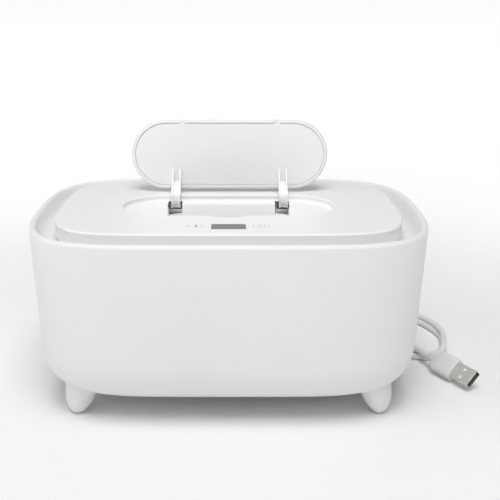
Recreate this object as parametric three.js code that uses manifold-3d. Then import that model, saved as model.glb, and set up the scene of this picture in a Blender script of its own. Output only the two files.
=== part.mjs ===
// Baby wipe warmer: a tub-shaped white housing on four peg feet, a lift-off
// lid sunk in a finger moat, a long oval dispensing flap on two gooseneck
// arms, a small display and a USB lead.
// Units: millimetres. +X right, -Y front, +Z up. Origin: centre of the
// footprint on the floor. Drawn as photographed: lid down, flap open.

import * as THREE from 'three';
import { mergeVertices } from 'three/addons/utils/BufferGeometryUtils.js';
import Module from 'manifold-3d';

// ---------------------------------------------------------------- dimensions
// housing plan: |x/a|^NX + |y/b|^NY = 1
const HALF_W = 125, HALF_D = 85;       // rim, half width and half depth
const NX = 5.4, NY = 3.0;              // plan exponents of the outer wall
const NXI = 7.0, NYI = 3.3;            // plan exponents of lid and tank
const RIM_Z = 117.6;                   // top of the rim
const DRAFT = 0.0465;                  // inward taper of the wall, mm per mm
const WALL = 2.4;                      // housing wall thickness
const BOTTOM_Z = 12.2;                 // underside of the housing
const HEEL_R = 28, HEEL_P = 2.3;       // bottom fillet, height and fullness
const LEDGE_Z = 108.2;                 // floor of the moat
const LEDGE_IN = 20.5;                 // inner edge of the moat floor, inset
const SEGMENTS = 48;                   // steps round the plan curve

// tank
const TANK_FLANGE_Z = 110.3, TANK_FLOOR_Z = 29, TANK_WALL = 2;

// lid
const LID_INSET = 16;                  // rim edge to lid edge
const LID_Z = 120;                     // lid top
const LID_LOW = 110.8;                 // lower edge of the lid wall
const LID_T = 2;                       // lid plate thickness

// flap seat in the lid
const SEAT_Z = 116;                    // seat floor
const SEAT_S = 43.8, SEAT_R = 24.9;    // stadium: half straight, end radius
const SEAT_Y = -3.2;                   // stadium centre
// wipe outlet: half width at its back edge, front and back edge, corner radius
const HOLE_W = 40.9, HOLE_Y0 = -22, HOLE_Y1 = 17, HOLE_R = 9;
const HOLE_TAPER = 0.07;               // narrower towards the front, mm per mm
const HOLE_SLOPE = 0.55;               // lean of the outlet's back wall
const SKIRT_T = 1.8, SKIRT_Z = 103;
const SLOT_X0 = 31.45, SLOT_X1 = 40.9, SLOT_Y1 = 24.6, SLOT_Z = 116.3, SLOT_LOW = 109.3;
const POCKET_IN = 12.2, POCKET_OUT = 13.4; // hinge pocket under each arm
const THUMB_R = 16.5, THUMB_Y = -16.3; // finger scoop in the front edge
const WINDOW_W = 20, WINDOW_D = 10.5, WINDOW_Y = -53;

// flap and its hinge
const PIVOT_Y = 28.4, PIVOT_Z = 115.0; // hinge axis, parallel to X
const FLAP_ANGLE = 98;                 // degrees from closed to open
const FLAP_S = 43.6, FLAP_R = 24.0, FLAP_Y = -3.2;
const FLAP_TOP = 120, FLAP_LOW = 116.4;
const LIP = 2.5;                       // width of the flap's lip
const PLAY = 0.7;                      // the flap sits this far to the right
const ARM_X = 36.6, ARM_W = 6.2, RIB = 1.2;
const ARC_IN = 8.9, ARC_RIB = 11.1, ARC_WEB = 10.3;
const PIN_R = 1.2, HUB_R = 2.5, BORE_R = 1.5;

// feet
const FOOT_X = 94.5, FOOT_Y = 57;
const FOOT_LEAN_X = 0.16, FOOT_LEAN_Y = 0.10;

// lead
const CORD_R = 2.1;
// centre line of the coil's lower turn, from the right side round by the back
const OVAL = [
  [159.6, 50.5], [158.6, 58.4], [156.6, 65.4], [152.4, 75.0], [147.0, 83.2], [140.2, 90.4], [131.6, 95.4], [122.6, 95.6], [115.0, 90.6], [110.6, 81.6], [109.6, 70.5], [111.3, 59.5],
  [115.2, 48.5], [120.6, 39.0], [126.2, 31.2], [131.7, 24.7], [135.5, 22.0], [140.3, 20.7], [145.4, 21.4], [149.9, 23.9], [153.2, 28.1], [156.0, 35.0], [158.2, 42.0],
];
const COIL_H = 8.5;
const GLAND = [64, 80.5, 38];          // where the lead leaves the wall
const PLUG_C = [161.1, -30.1, 8.0];    // middle of the plug's mouth
const PLUG_AX = [0.49, -0.87, 0.012]; // towards the mouth
const PLUG_WD = [0.65, 0.38, 0.66];    // across the plug
const SHELL_L = 15.6, SHELL_W = 12, SHELL_T = 4.5;
const BODY_L = 19.5, BODY_W = 15.3, BODY_T = 7.6;

// ------------------------------------------------------------------- solids
const wasm = await Module();
wasm.setup();

// one closed, outward-facing geometry with shared vertices
function tidy(geometry) {
  const g0 = geometry.index ? geometry.clone() : geometry.clone();
  g0.deleteAttribute('normal');
  g0.deleteAttribute('uv');
  const g = mergeVertices(g0, 1e-4);
  const p = g.attributes.position.array;
  const idx = g.index.array;
  const out = [];
  let vol = 0;
  for (let i = 0; i < idx.length; i += 3) {
    const [a, b, c] = [idx[i], idx[i + 1], idx[i + 2]];
    if (a === b || b === c || a === c) continue;
    out.push(a, b, c);
    const A = a * 3, B = b * 3, C = c * 3;
    vol += p[A] * (p[B + 1] * p[C + 2] - p[B + 2] * p[C + 1])
      - p[A + 1] * (p[B] * p[C + 2] - p[B + 2] * p[C])
      + p[A + 2] * (p[B] * p[C + 1] - p[B + 1] * p[C]);
  }
  if (vol < 0) for (let i = 0; i < out.length; i += 3) [out[i + 1], out[i + 2]] = [out[i + 2], out[i + 1]];
  g.setIndex(out);
  return g;
}

function toSolid(geometry) {
  const g = tidy(geometry);
  return new wasm.Manifold(new wasm.Mesh({
    numProp: 3,
    vertProperties: new Float32Array(g.attributes.position.array),
    triVerts: new Uint32Array(g.index.array),
  }));
}

function fromSolid(solid) {
  const m = solid.getMesh();
  const g = new THREE.BufferGeometry();
  g.setAttribute('position', new THREE.BufferAttribute(new Float32Array(m.vertProperties), 3));
  g.setIndex(new THREE.BufferAttribute(new Uint32Array(m.triVerts), 1));
  return g;
}

const asSolid = (s) => (s.isBufferGeometry ? toSolid(s) : s);
const join = (...list) => list.map(asSolid).reduce((a, b) => a.add(b));
const cut = (first, ...list) => list.map(asSolid).reduce((a, b) => a.subtract(b), asSolid(first));

// steps round the plan curve: finer where it bends
const STEPS = (() => {
  const q = SEGMENTS / 4, fine = 2000, sum = [0], pts = [];
  for (let i = 0; i <= fine; i++) {
    const t = (Math.PI / 2) * (i / fine);
    pts.push([HALF_W * Math.cos(t) ** (2 / NX), HALF_D * Math.sin(t) ** (2 / NY)]);
  }
  let last = null;
  for (let i = 1; i <= fine; i++) {
    const dx = pts[i][0] - pts[i - 1][0], dy = pts[i][1] - pts[i - 1][1];
    const dir = Math.atan2(dy, dx);
    const turn = last === null ? 0 : Math.abs(dir - last);
    last = dir;
    sum.push(sum[i - 1] + Math.hypot(dx, dy) + 60 * turn);
  }
  const first = [];
  for (let k = 0; k <= q; k++) {
    const want = (sum[fine] * k) / q;
    let i = 0;
    while (i < fine && sum[i + 1] < want) i++;
    first.push(k === 0 ? 0 : k === q ? Math.PI / 2 : (Math.PI / 2) * ((i + 1) / fine));
  }
  const out = [];
  for (let k = 0; k < q; k++) out.push(first[k]);
  for (let k = 0; k < q; k++) out.push(Math.PI - first[q - k]);
  for (let k = 0; k < q; k++) out.push(Math.PI + first[k]);
  for (let k = 0; k < q; k++) out.push(2 * Math.PI - first[q - k]);
  return out;
})();

function planPoint(a, b, nx, ny, t) {
  const c = Math.cos(t), s = Math.sin(t);
  const x = Math.abs(c) < 1e-9 ? 0 : Math.sign(c) * Math.abs(c) ** (2 / nx);
  const y = Math.abs(s) < 1e-9 ? 0 : Math.sign(s) * Math.abs(s) ** (2 / ny);
  return [a * x, b * y];
}

// a profile of [inset, z] swept round the plan curve; inset null = on the axis
function swept(profile, expo) {
  const pts = profile.map(([i, z]) => new THREE.Vector2(i === null ? 0 : HALF_W - i, z));
  const g = new THREE.LatheGeometry(pts, SEGMENTS);
  const pos = g.attributes.position;
  for (let i = 0; i <= SEGMENTS; i++) {
    const t = STEPS[i % SEGMENTS];
    for (let j = 0; j < pts.length; j++) {
      const [inset, z] = profile[j];
      const k = i * pts.length + j;
      if (inset === null) { pos.setXYZ(k, 0, 0, z); continue; }
      const [nx, ny] = expo(inset, z);
      const [x, y] = planPoint(HALF_W - inset, HALF_D - inset, nx, ny, t);
      pos.setXYZ(k, x, y, z);
    }
  }
  return g;
}
const outerPlan = () => [NX, NY];
const innerPlan = () => [NXI, NYI];
const rimPlan = (inset, z) => (z > 103
  ? [NX + (NXI - NX) * Math.min(1, inset / LID_INSET), NY + (NYI - NY) * Math.min(1, inset / LID_INSET)]
  : [NX, NY]);

// a profile of [radius, z] swept round a stadium lying along X
function stadium(profile, half, segments = 40) {
  const pts = profile.map(([r, z]) => new THREE.Vector2(r, z));
  const g = new THREE.LatheGeometry(pts, segments, Math.PI / segments);
  const pos = g.attributes.position;
  for (let k = 0; k < pos.count; k++) {
    const i = Math.floor(k / pts.length) % segments;
    const phi = Math.PI / segments + (2 * Math.PI * i) / segments;
    const [r, z] = profile[k % pts.length];
    pos.setXYZ(k, r * Math.sin(phi) + Math.sign(Math.sin(phi)) * half, -r * Math.cos(phi), z);
  }
  return g;
}

function roundRect(w, d, r) {
  const s = new THREE.Shape(), x = w / 2, y = d / 2, q = Math.PI / 2;
  s.moveTo(x, -y + r);
  s.lineTo(x, y - r);
  s.absarc(x - r, y - r, r, 0, q);
  s.lineTo(-x + r, y);
  s.absarc(-x + r, y - r, r, q, 2 * q);
  s.lineTo(-x, -y + r);
  s.absarc(-x + r, -y + r, r, 2 * q, 3 * q);
  s.lineTo(x - r, -y);
  s.absarc(x - r, -y + r, r, 3 * q, 4 * q);
  return s;
}
function slab(shape, z0, z1, cx = 0, cy = 0, seg = 5) {
  const g = new THREE.ExtrudeGeometry(shape, { depth: z1 - z0, bevelEnabled: false, curveSegments: seg });
  g.translate(cx, cy, z0);
  return g;
}
// a convex outline with rounded corners
function rounded(corners, r, seg) {
  const out = [], n = corners.length;
  for (let i = 0; i < n; i++) {
    const a = corners[(i + n - 1) % n], b = corners[i], c = corners[(i + 1) % n];
    const d = Math.atan2(b[1] - a[1], b[0] - a[0]);
    let turn = Math.atan2(c[1] - b[1], c[0] - b[0]) - d;
    while (turn < 0) turn += 2 * Math.PI;
    const t = r * Math.tan(turn / 2);
    const cx = b[0] - t * Math.cos(d) - r * Math.sin(d), cy = b[1] - t * Math.sin(d) + r * Math.cos(d);
    for (let k = 0; k <= seg; k++) {
      const q = d - Math.PI / 2 + (turn * k) / seg;
      out.push([cx + r * Math.cos(q), cy + r * Math.sin(q)]);
    }
  }
  return out;
}
// a solid through convex outlines of equal count, each [outline, z]
function loft(levels) {
  const n = levels[0][0].length, pos = [], idx = [];
  for (const [ring, z] of levels) for (const [x, y] of ring) pos.push(x, y, z);
  for (let i = 0; i + 1 < levels.length; i++) {
    for (let j = 0; j < n; j++) {
      const a = i * n + j, b = i * n + ((j + 1) % n);
      idx.push(a, b, b + n, a, b + n, a + n);
    }
  }
  const top = (levels.length - 1) * n;
  for (let j = 1; j + 1 < n; j++) idx.push(0, j + 1, j, top, top + j, top + j + 1);
  const g = new THREE.BufferGeometry();
  g.setAttribute('position', new THREE.BufferAttribute(new Float32Array(pos), 3));
  g.setIndex(idx);
  return g;
}
function block(x0, x1, y0, y1, z0, z1) {
  const g = new THREE.BoxGeometry(x1 - x0, y1 - y0, z1 - z0);
  g.translate((x0 + x1) / 2, (y0 + y1) / 2, (z0 + z1) / 2);
  return g;
}
function post(r, z0, z1, x, y, seg = 16) {
  const g = new THREE.CylinderGeometry(r, r, z1 - z0, seg);
  g.rotateX(Math.PI / 2);
  g.translate(x, y, (z0 + z1) / 2);
  return g;
}
function rodX(r, x0, x1, y, z, seg = 20) {
  const g = new THREE.CylinderGeometry(r, r, x1 - x0, seg);
  g.rotateZ(Math.PI / 2);
  g.translate((x0 + x1) / 2, y, z);
  return g;
}
// a screw: pan head below, shank above
function screw(x, y, z, headR, headH, shankR, length, seg = 14) {
  const p = [[0, 0], [headR * 0.82, 0], [headR, headH * 0.35], [headR, headH], [shankR, headH], [shankR, length - 0.8], [0.3, length], [0, length]];
  const g = new THREE.LatheGeometry(p.map(([r, h]) => new THREE.Vector2(r, h)), seg);
  g.rotateX(Math.PI / 2);
  g.translate(x, y, z);
  return g;
}
// an outline in the Y-Z plane, extruded along X
function plateX(points, x0, x1) {
  const s = new THREE.Shape(points.map(([y, z]) => new THREE.Vector2(y, z)));
  const g = new THREE.ExtrudeGeometry(s, { depth: x1 - x0, bevelEnabled: false });
  const m = new THREE.Matrix4().makeBasis(new THREE.Vector3(0, 1, 0), new THREE.Vector3(0, 0, 1), new THREE.Vector3(1, 0, 0));
  g.applyMatrix4(m);
  g.translate(x0, 0, 0);
  return g;
}

// ---------------------------------------------------------------- materials
const mat = (color, roughness, metalness = 0) => new THREE.MeshStandardMaterial({ color, roughness, metalness });
const WHITE = () => mat(0xf1f1f2, 0.42);
const WHITE_IN = () => mat(0xeeeeef, 0.5);
const STEEL = () => mat(0xb9b9b6, 0.32, 1);
const SILICONE = () => mat(0xe2e2e2, 0.65);

const part = new THREE.Group();
function add(name, shape, material, parent = part) {
  const mesh = new THREE.Mesh(tidy(shape.isBufferGeometry ? shape : fromSolid(shape)), material);
  mesh.name = name;
  parent.add(mesh);
  return mesh;
}

// ------------------------------------------------------------------ housing
// fillet of the heel, from the flat underside (k = 0) to the wall (k = n)
function heel(z0, r, extra, k, n) {
  const th = (Math.PI / 2) * (1 - k / n);
  const z = z0 + r * (1 - Math.sin(th) ** (2 / HEEL_P));
  return [DRAFT * (116 - z) + extra + r * (1 - Math.cos(th) ** (2 / HEEL_P)), z];
}
const wallAt = (z, extra = 0) => [DRAFT * (116 - z) + extra, z];

const outside = [];
for (let k = 0; k <= 8; k++) outside.push(heel(BOTTOM_Z, HEEL_R, 0, k, 8));
const rim = [[0.03, 115.4], [0.3, 116.5], [1.0, 117.25], [2.2, RIM_Z], [3.3, RIM_Z], [4.1, 117.1]];
const scoop = [[6.0, 114.0], [8.0, 111.2], [10.4, 109.2], [13.4, LEDGE_Z + 0.1], [LEDGE_IN, LEDGE_Z]];
const inside = [];
for (let k = 5; k >= 0; k--) inside.push(heel(BOTTOM_Z + WALL, HEEL_R - WALL, WALL, k, 5));
const shellProfile = [
  [38, BOTTOM_Z], ...outside, ...rim, ...scoop,
  [LEDGE_IN, LEDGE_Z - 2.3], [10, LEDGE_Z - 2.3], wallAt(100, WALL), ...inside,
  [34, 18.4], [50, 18.4], [50, 15], [38, 15], [38, BOTTOM_Z],
];
const SCREWS = [[55, 38.2], [-55, 38.2], [55, -38.2], [-55, -38.2]];
let shell = toSolid(swept(shellProfile, rimPlan));
for (const [x, y] of SCREWS) shell = shell.subtract(toSolid(post(1.55, 14, 20, x, y, 12)));
// round hole for the lead's gland
const glandHole = new THREE.CylinderGeometry(4.3, 4.3, 30, 20);
glandHole.translate(GLAND[0], GLAND[1], GLAND[2]);
shell = shell.subtract(toSolid(glandHole));
add('outer_shell', shell, WHITE());

// outer volume of the housing, 0.3 larger, to trim the feet against
const hull = [[null, BOTTOM_Z - 0.3], ...outside.map(([i, z]) => [i - 0.3, z - 0.3]), [-0.3, 115], [null, 115]];
const trim = toSolid(swept(hull, outerPlan));

const footProfile = [[0, 0], [2.8, 0], [3.9, 0.5], [5.3, 1.9], [7.05, 4.6], [8.3, 7.2], [9.15, 10], [9.8, 14], [10.2, 18], [10.5, 25], [0, 25]];
for (const [name, sx, sy] of [['foot_front_left', -1, -1], ['foot_front_right', 1, -1], ['foot_rear_left', -1, 1], ['foot_rear_right', 1, 1]]) {
  const g = new THREE.LatheGeometry(footProfile.map(([r, h]) => new THREE.Vector2(r, h)), 20);
  g.rotateX(Math.PI / 2);
  const p = g.attributes.position;
  for (let i = 0; i < p.count; i++) {
    const z = p.getZ(i);
    p.setXYZ(i, p.getX(i) + sx * (FOOT_X - FOOT_LEAN_X * z), p.getY(i) + sy * (FOOT_Y - FOOT_LEAN_Y * z), z);
  }
  add(name, toSolid(g).subtract(trim), WHITE_IN());
}

// ------------------------------------------------------------ base and heat
let base = toSolid(swept([[null, BOTTOM_Z], [38.35, BOTTOM_Z], [38.35, 14.65], [null, 14.65]], outerPlan));
for (const [x, y] of SCREWS) base = cut(base, post(1.6, 10, 16, x, y, 12), post(3.0, 12, 13.5, x, y, 16));
const BOARD = [22, 8];
for (const [sx, sy] of [[1, 1], [1, -1], [-1, 1], [-1, -1]]) base = join(base, post(2, 14, 16.9, BOARD[0] + sx * 24, BOARD[1] + sy * 13, 10), post(3, 14, 20.8, sx * 60, sy * 18, 12));
add('base_cover', base, WHITE_IN());
SCREWS.forEach(([x, y], i) => add(`base_screw_${i + 1}`, screw(x, y, 12.25, 2.6, 1.0, 1.2, 5.9), STEEL()));

add('power_board', slab(roundRect(54, 32, 1), 17.2, 18.8, BOARD[0], BOARD[1], 2), mat(0x2f6b45, 0.5));
add('board_inlet_socket', block(39, 47, 10, 20, 19.1, 20.7), mat(0xe8e4d8, 0.5));
add('insulation_pad', slab(roundRect(150, 74, 8), 21.1, 23.9, 0, 0, 3), mat(0xcfcfcf, 0.9));
add('heater_plate', slab(roundRect(156, 80, 8), 24.2, 25.4, 0, 0, 3), mat(0xc4c6c8, 0.35, 0.9));
add('heating_film', slab(roundRect(150, 74, 8), 25.7, 26.4, 0, 0, 3), mat(0xb5792e, 0.4));

const tankProfile = [
  [null, TANK_FLOOR_Z - TANK_WALL], [40.5, TANK_FLOOR_Z - TANK_WALL], [34, 28.2], [29.5, 31.5], [27.2, 36.5], [26.9, 41],
  [22.2, 108.5], [17.3, 108.5], [17.3, TANK_FLANGE_Z], [24, TANK_FLANGE_Z], [29, 41], [29.9, 36.5], [32, 32.6], [36, 29.9], [41.5, TANK_FLOOR_Z], [null, TANK_FLOOR_Z],
];
const tank = cut(swept(tankProfile, innerPlan), block(-14, 14, 62.4, 75, 105, 114));
add('inner_tank', tank, WHITE_IN());
const stat = new THREE.CylinderGeometry(7.5, 7.5, 3.4, 20);
stat.translate(-45, 62.1, 62);
add('thermostat', stat, mat(0x8e8f91, 0.4, 0.7));

// contact studs that feed the lid, at the back of the ledge
const CONTACTS = [-9, -3, 3, 9];
let contactBlock = toSolid(block(-13, 13, 62.8, 67.6, LEDGE_Z + 0.3, 110.4));
for (const x of CONTACTS) contactBlock = contactBlock.subtract(toSolid(post(1.0, 106, 113, x, 65.2, 10)));
// openings stay through the block, so each stud drops in from above
add('contact_block', contactBlock, WHITE_IN());
CONTACTS.forEach((x, i) => add(`contact_stud_${i + 1}`, post(0.65, 108.6, 111.9, x, 65.2, 10), mat(0xc9a24b, 0.3, 1)));

// ---------------------------------------------------------------------- lid
let cover = toSolid(swept([[null, LID_LOW], [LID_INSET, LID_LOW], [LID_INSET, 118.9], [16.25, 119.55], [16.9, 119.95], [17.6, LID_Z], [null, LID_Z]], innerPlan));
cover = cut(cover, swept([[null, LID_LOW - 1], [18, LID_LOW - 1], [18, LID_Z - LID_T], [null, LID_Z - LID_T]], innerPlan));
const tray = stadium([[0, SEAT_Z - 2], [SEAT_R + 2, SEAT_Z - 2], [SEAT_R + 2, 119], [0, 119]], SEAT_S);
tray.translate(0, SEAT_Y, 0);
const seat = stadium([[0, SEAT_Z], [SEAT_R, SEAT_Z], [SEAT_R, 119.3], [SEAT_R + 0.7, 120.05], [SEAT_R + 0.7, 122], [0, 122]], SEAT_S);
seat.translate(0, SEAT_Y, 0);
// outline of the wipe outlet at a height, with its back wall leaning forward
function outlet(z, grow) {
  const yb = HOLE_Y1 - HOLE_SLOPE * Math.max(0, SEAT_Z - z) + grow, yf = HOLE_Y0 - grow;
  const w = (y) => HOLE_W - HOLE_TAPER * (HOLE_Y1 - y) + grow;
  return [rounded([[w(yf), yf], [w(yb), yb], [-w(yb), yb], [-w(yf), yf]], HOLE_R + grow, 5), z];
}
const skirt = loft([outlet(SKIRT_Z, SKIRT_T), outlet(SEAT_Z - 1, SKIRT_T)]);
const hole = loft([outlet(SKIRT_Z - 2, 0), outlet(SEAT_Z, 0), [outlet(SEAT_Z, 0)[0], SEAT_Z + 2]]);
cover = join(cover, tray, post(THUMB_R + 2, SEAT_Z - 2, 119, 0, THUMB_Y, 48), skirt);
cover = cut(cover, seat, post(THUMB_R, SEAT_Z, 122, 0, THUMB_Y, 48));
cover = cut(cover, hole);
for (const s of [-1, 1]) {
  const [x0, x1] = s > 0 ? [SLOT_X0, SLOT_X1] : [-SLOT_X1, -SLOT_X0];
  cover = cut(cover, block(x0, x1, 8, SLOT_Y1, SLOT_LOW, SLOT_Z));
}
// a hinge pocket round each arm, hanging from the lid plate: two cheeks that
// carry the pin, and a curved floor that keeps the wipes off the arm
const sweep = (r, a0, a1, n) => Array.from({ length: n + 1 }, (_, k) => {
  const a = ((a0 + ((a1 - a0) * k) / n) * Math.PI) / 180;
  return [PIVOT_Y + r * Math.cos(a), PIVOT_Z + r * Math.sin(a)];
});
for (const s of [-1, 1]) {
  const c = s * ARM_X + PLAY;
  const cheek = [[PIVOT_Y - 2.9, LID_Z - LID_T + 0.5], [PIVOT_Y - 2.9, PIVOT_Z - 3.2], ...sweep(POCKET_OUT, 235, 350, 9), [PIVOT_Y + 13.2, LID_Z - LID_T + 0.5]];
  cover = join(cover,
    plateX(cheek, c - ARM_W / 2 - 2.4, c - ARM_W / 2 - 0.5),
    plateX(cheek, c + ARM_W / 2 + 0.5, c + ARM_W / 2 + 2.4),
    plateX([...sweep(POCKET_OUT - 0.01, 197, 349.5, 12), ...sweep(POCKET_IN, 349.5, 197, 12)], c - ARM_W / 2 - 2.2, c + ARM_W / 2 + 2.2));
  cover = cut(cover, rodX(BORE_R, c - 6, c + 6, PIVOT_Y, PIVOT_Z, 20));
}
// rib that carries the contact pad
cover = join(cover, block(-12.4, 12.4, 62.8, 66.6, 113.6, LID_Z - LID_T + 0.5));
// two nibs in the front of the seat, for the notches in the flap's lip
for (const x of [-32.5, 32.5]) cover = join(cover, block(x + PLAY - 1.2, x + PLAY + 1.2, SEAT_Y - SEAT_R - 0.5, SEAT_Y - SEAT_R + 1.9, 116.9, 117.8));
// posts for the tray screws
const LID_SCREWS = [[86, 38], [-86, 38], [86, -38], [-86, -38]];
for (const [x, y] of LID_SCREWS) cover = cut(join(cover, post(3.2, 112.9, LID_Z - LID_T + 0.5, x, y, 14)), post(1.4, 111, 117.8, x, y, 10));
// display window, with a step under it
cover = cut(cover, block(-WINDOW_W / 2 - 0.3, WINDOW_W / 2 + 0.3, WINDOW_Y - WINDOW_D / 2 - 0.3, WINDOW_Y + WINDOW_D / 2 + 0.3, 115, 122));
add('top_cover', cover, WHITE());

add('display_lens', slab(roundRect(WINDOW_W, WINDOW_D, 0.6), 118.3, LID_Z, 0, WINDOW_Y, 2), mat(0x8f9092, 0.18));
add('display_module', block(-9.2, 9.2, WINDOW_Y - 4.6, WINDOW_Y + 4.6, 114.8, 118.0), mat(0x2a2b2d, 0.5));
add('touch_board', slab(roundRect(76, 15, 1), 113.0, 114.5, 0, WINDOW_Y, 2), mat(0x2f6b45, 0.5));

let under = toSolid(swept([[null, 111.1], [18.5, 111.1], [18.5, 112.6], [null, 112.6]], innerPlan));
under = cut(under, slab(roundRect(94, 71, 4), 110, 114, 0, 8.0, 4), block(-15, 15, 58.5, 80, 110, 114));
for (const [x, y] of LID_SCREWS) under = cut(under, post(1.5, 110, 114, x, y, 10));
add('lid_under_tray', under, WHITE_IN());
add('lid_gasket', swept([[24.5, 106.9], [26.8, 106.9], [26.8, 110.8], [24.5, 110.8], [24.5, 106.9]], innerPlan), SILICONE());
LID_SCREWS.forEach(([x, y], i) => add(`lid_screw_${i + 1}`, screw(x, y, 109.7, 2.4, 1.1, 1.05, 7.2), STEEL()));
add('contact_pad', block(-12, 12, 62.6, 66.4, 112.3, 113.3), mat(0xc9a24b, 0.35, 0.8));
for (const [name, s] of [['hinge_pin_left', -1], ['hinge_pin_right', 1]]) {
  const c = s * ARM_X + PLAY;
  add(name, rodX(PIN_R, c - 5.4, c + 5.4, PIVOT_Y, PIVOT_Z), STEEL());
}

// --------------------------------------------------------------------- flap
// drawn closed, then turned open about the hinge axis
const swing = new THREE.Group();
swing.position.set(PLAY, PIVOT_Y, PIVOT_Z);
swing.rotation.x = THREE.MathUtils.degToRad(-FLAP_ANGLE);
const closed = new THREE.Group();
closed.position.set(0, -PIVOT_Y, -PIVOT_Z);
swing.add(closed);
part.add(swing);

const flapOuter = [[0, FLAP_LOW], [FLAP_R - 1.35, FLAP_LOW], [FLAP_R - 0.95, 116.7], [FLAP_R - 0.55, 118], [FLAP_R, 119.1], [FLAP_R - 0.15, 119.7], [FLAP_R - 0.8, FLAP_TOP], [0, FLAP_TOP]];
const flapInner = [[0, FLAP_LOW - 1], [FLAP_R - LIP, FLAP_LOW - 1], [FLAP_R - LIP, 118.2], [0, 118.2]];
const outer = stadium(flapOuter, FLAP_S); outer.translate(0, FLAP_Y, 0);
const inner = stadium(flapInner, FLAP_S); inner.translate(0, FLAP_Y, 0);
let flap = cut(outer, inner);
// two latch notches in the front of the lip
for (const x of [-32.5, 32.5]) flap = cut(flap, block(x - 1.7, x + 1.7, FLAP_Y - FLAP_R - 1, FLAP_Y - FLAP_R + LIP + 0.6, FLAP_LOW - 1, 118.2));
// and two shallow seats in the back of the lip, where the arms cross it
for (const s of [-1, 1]) flap = cut(flap, block(s * ARM_X - ARM_W / 2 - 0.3, s * ARM_X + ARM_W / 2 + 0.3, FLAP_Y + FLAP_R - LIP - 1, FLAP_Y + FLAP_R + 1, FLAP_LOW - 1, 116.9));
add('flap_panel', flap, WHITE(), closed);
const liner = stadium([[0, 116.9], [FLAP_R - LIP - 0.35, 116.9], [FLAP_R - LIP - 0.35, 117.9], [0, 117.9]], FLAP_S);
liner.translate(0, FLAP_Y, 0);
add('flap_liner', liner, WHITE_IN(), closed);

// gooseneck arms, drawn open: a channel of two ribs and a web round the axis
const rad = THREE.MathUtils.degToRad;
const polar = (r, deg) => [PIVOT_Y + r * Math.cos(rad(deg)), PIVOT_Z + r * Math.sin(rad(deg))];
// a point on the plane of the liner's face: tau along the flap from the axis
const FACE = 116.9 - PIVOT_Z - 0.3;
const onFace = (tau) => {
  const a = rad(180 - FLAP_ANGLE);
  return [PIVOT_Y + FACE * Math.sin(a) + tau * Math.cos(a), PIVOT_Z - FACE * Math.cos(a) + tau * Math.sin(a)];
};
const faceDeg = (r) => 180 - FLAP_ANGLE - 90 + (Math.acos(FACE / r) * 180) / Math.PI;
function neck(outerR, straightDeg, tipTau) {
  const pts = [];
  for (let k = 0; k <= 10; k++) pts.push(polar(outerR, 194 + ((straightDeg - 194) * k) / 10));
  pts.push(onFace(tipTau));
  const e = faceDeg(ARC_IN);
  for (let k = 0; k <= 12; k++) pts.push(polar(ARC_IN, e + ((194 - e) * k) / 12));
  return pts;
}
const spokeDeg = 188;
const spoke = [[-0.5, -1.5], [9.4, -1.5], [9.4, 1.5], [-0.5, 1.5]].map(([r, w]) => [
  PIVOT_Y + r * Math.cos(rad(spokeDeg)) - w * Math.sin(rad(spokeDeg)), PIVOT_Z + r * Math.sin(rad(spokeDeg)) + w * Math.cos(rad(spokeDeg))]);
for (const [name, s] of [['hinge_arm_left', -1], ['hinge_arm_right', 1]]) {
  const c = s * ARM_X + PLAY, x0 = c - ARM_W / 2, x1 = c + ARM_W / 2;
  let arm = join(
    plateX(neck(ARC_RIB, 100, 21.5), x0, x0 + RIB),
    plateX(neck(ARC_RIB, 100, 21.5), x1 - RIB, x1),
    plateX(neck(ARC_WEB, 95, 13.1), x0 + RIB / 2, x1 - RIB / 2),
    plateX(spoke, x0 + 0.01, x1 - 0.01),
    rodX(HUB_R, x0 + 0.005, x1 - 0.005, PIVOT_Y, PIVOT_Z, 20),
  );
  arm = cut(arm, rodX(BORE_R, x0 - 1, x1 + 1, PIVOT_Y, PIVOT_Z, 20));
  add(name, arm, WHITE());
}

// --------------------------------------------------------------------- lead
const V = (a) => new THREE.Vector3(...a);
function tube(points, steps, r = CORD_R) {
  const section = new THREE.Shape();
  for (let k = 0; k < 8; k++) {
    const a = (k * Math.PI) / 4 + Math.PI / 8;
    section[k ? 'lineTo' : 'moveTo'](r * Math.cos(a), r * Math.sin(a));
  }
  const path = new THREE.CatmullRomCurve3(points.map(V), false, 'centripetal');
  return new THREE.ExtrudeGeometry(section, { steps, extrudePath: path, bevelEnabled: false });
}
// gland: a collar in the wall and a tapered relief behind it
const glandLathe = new THREE.LatheGeometry([[0, 0], [5.6, 0], [5.6, 2.1], [4.0, 2.2], [4.0, 7.7], [5.4, 7.8], [5.4, 9.3], [4.2, 10.2], [3.1, 21], [0, 21]].map(([r, h]) => new THREE.Vector2(r, h)), 20);
glandLathe.translate(GLAND[0], GLAND[1] - 6.7, GLAND[2]);
add('cord_gland', glandLathe, mat(0xe6e6e6, 0.55));
const GLAND_END = GLAND[1] - 6.7 + 21;

const LEAD = [
  [GLAND[0], GLAND_END + 0.3, GLAND[2]], [GLAND[0], GLAND_END + 3.5, GLAND[2]], [64.4, 102.4, 36.2], [65.4, 106.0, 32.4], [67.8, 108.6, 26.4], [71.4, 111.4, 18.0], [76.4, 112.8, 9.8],
  [83.0, 112.0, 4.4], [89.5, 109.4, 2.7], [95.4, 104.6, 2.3], [99.8, 98.2, 2.3], [102.6, 91.4, 2.3],
];
add('cord_lead', tube(LEAD, 28), mat(0xe4e4e4, 0.5));

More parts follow.
